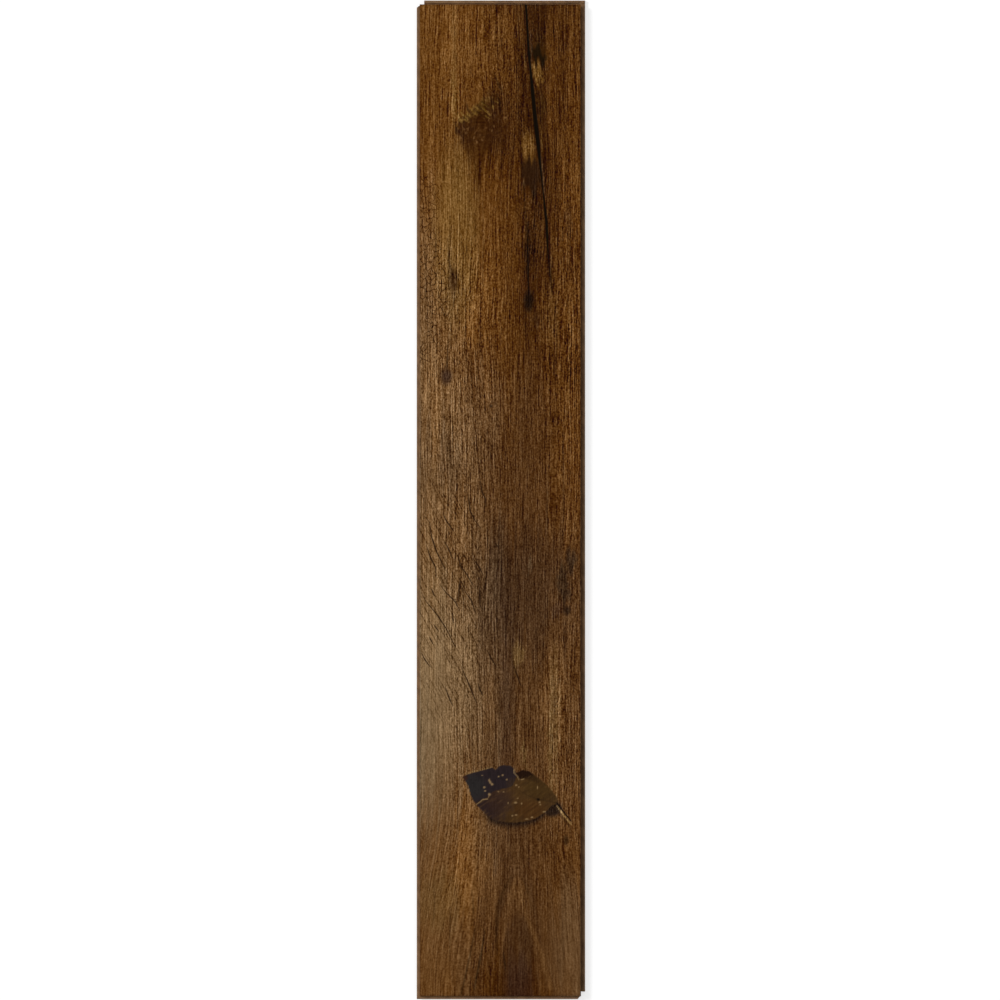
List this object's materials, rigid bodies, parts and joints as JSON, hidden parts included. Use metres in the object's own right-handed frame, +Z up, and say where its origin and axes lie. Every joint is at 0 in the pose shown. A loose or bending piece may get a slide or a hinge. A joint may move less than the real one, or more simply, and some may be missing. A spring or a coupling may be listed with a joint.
{
  "type": "laminate floor plank",
  "caption": "Flat laminate floor plank with a rustic wood decor, a tongue on one long side and one end, and a groove with a locking lip on the others.",
  "frame": {"origin": "middle of the back, on the floor, under the centre of the walking face", "axes": "+X across the width, from the tongue side to the lip side; +Y along the length, from the tongue end to the lip end; +Z up out of the walking face"},
  "size_m": [0.2068, 1.2268, 0.012],
  "materials": {
    "plank": "satin"
  },
  "bodies": {
    "root": {"plank": "plank"}
  },
  "joints": []
}
